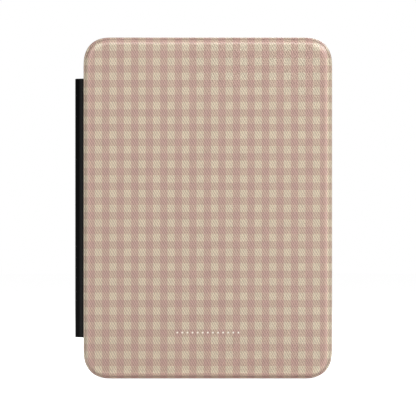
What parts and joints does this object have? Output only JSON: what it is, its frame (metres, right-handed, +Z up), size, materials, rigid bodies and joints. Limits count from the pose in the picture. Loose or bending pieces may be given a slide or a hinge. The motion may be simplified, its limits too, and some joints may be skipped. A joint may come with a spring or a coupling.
{
  "type": "e-reader in folio case",
  "caption": "Handheld e-reader held in a snap-in back tray, with a padded checked front cover that folds right round on a black side strap.",
  "frame": {"origin": "centre of the back tray's flat outer face", "axes": "the case stands on its port edge: +Z runs up its long side, +Y points out of its back, the cover faces -Y, and the strap is on the -X side"},
  "size_m": [0.1361, 0.0153, 0.1808],
  "materials": {
    "check_leather": "grained, printed with a cream and dusty rose check",
    "black_leather": "fine black grain, satin",
    "microfibre": "brushed nap",
    "greyboard": "uncoated",
    "foam": "closed-cell foam",
    "black_shell": "fine moulded texture",
    "reader_plastic": "soft-touch",
    "bezel_black": "printed ink",
    "clear_lens": "anti-glare hard coat",
    "paper_white": "matte",
    "steel": "satin",
    "magnesium": "cast",
    "magnet": "nickel plated",
    "battery_wrap": "laminated pouch",
    "board_green": "solder mask",
    "chip_black": "moulded",
    "flex_amber": "polyimide film",
    "seal_rubber": "matte",
    "tape_white": "matte"
  },
  "bodies": {
    "tray": {"tray_shell": "black_shell", "tray_lining": "microfibre", "strap_rear_flap": "black_leather", "rear_housing": "reader_plastic", "front_frame": "reader_plastic", "front_lens": "clear_lens", "bezel_film": "bezel_black", "touch_film": "clear_lens", "light_guide": "clear_lens", "led_strip": "flex_amber", "epaper_panel": "paper_white", "panel_foam": "foam", "display_flex": "flex_amber", "mid_chassis": "magnesium", "main_board": "board_green", "board_shield": "steel", "processor_chip": "chip_black", "memory_chip": "chip_black", "power_chip": "chip_black", "hall_sensor": "chip_black", "battery_connector": "chip_black", "display_connector": "chip_black", "battery_pack": "battery_wrap", "battery_tape": "tape_white", "battery_lead": "flex_amber", "antenna_film": "flex_amber", "antenna_cable": "chip_black", "port_shell": "steel", "port_tongue": "chip_black", "port_seal": "seal_rubber", "status_light_pipe": "clear_lens", "switch_body": "chip_black", "frame_magnet_lower": "magnet", "frame_magnet_upper": "magnet", "frame_screw_1": "steel", "frame_screw_2": "steel", "frame_screw_3": "steel", "frame_screw_4": "steel", "frame_screw_5": "steel", "frame_screw_6": "steel", "frame_screw_7": "steel", "frame_screw_8": "steel", "board_screw_1": "steel", "board_screw_2": "steel", "board_screw_3": "steel", "board_screw_4": "steel"},
    "strap_lower": {"strap_lower_section": "black_leather"},
    "strap_middle": {"strap_middle_section": "black_leather"},
    "strap_upper": {"strap_upper_section": "black_leather"},
    "cover": {"cover_skin": "check_leather", "cover_board": "greyboard", "cover_foam": "foam", "cover_lining": "microfibre", "strap_front_flap": "black_leather", "cover_magnet_lower": "magnet", "cover_magnet_upper": "magnet", "wake_magnet": "magnet"},
    "power_button": {"power_button_cap": "reader_plastic", "button_boot": "seal_rubber", "switch_plunger": "tape_white"}
  },
  "joints": [
    {"name": "tray_fold", "type": "hinge", "parent": "tray", "child": "strap_lower", "pos_m": [-0.0662, -0.0004, 0], "axis": [0, 0, -1], "range_deg": [0, 90]},
    {"name": "lower_strap_fold", "type": "hinge", "parent": "strap_lower", "child": "strap_middle", "pos_m": [-0.0698, -0.004, 0], "axis": [0, 0, -1], "range_deg": [0, 90]},
    {"name": "upper_strap_fold", "type": "hinge", "parent": "strap_middle", "child": "strap_upper", "pos_m": [-0.0698, -0.007, 0], "axis": [0, 0, -1], "range_deg": [0, 90]},
    {"name": "cover_fold", "type": "hinge", "parent": "strap_upper", "child": "cover", "pos_m": [-0.0662, -0.0106, 0], "axis": [0, 0, -1], "range_deg": [0, 90]},
    {"name": "power_button_travel", "type": "slide", "parent": "tray", "child": "power_button", "axis": [0, 0, 1], "range_m": [0, 0.0003], "stiffness_N_per_m": 600}
  ]
}
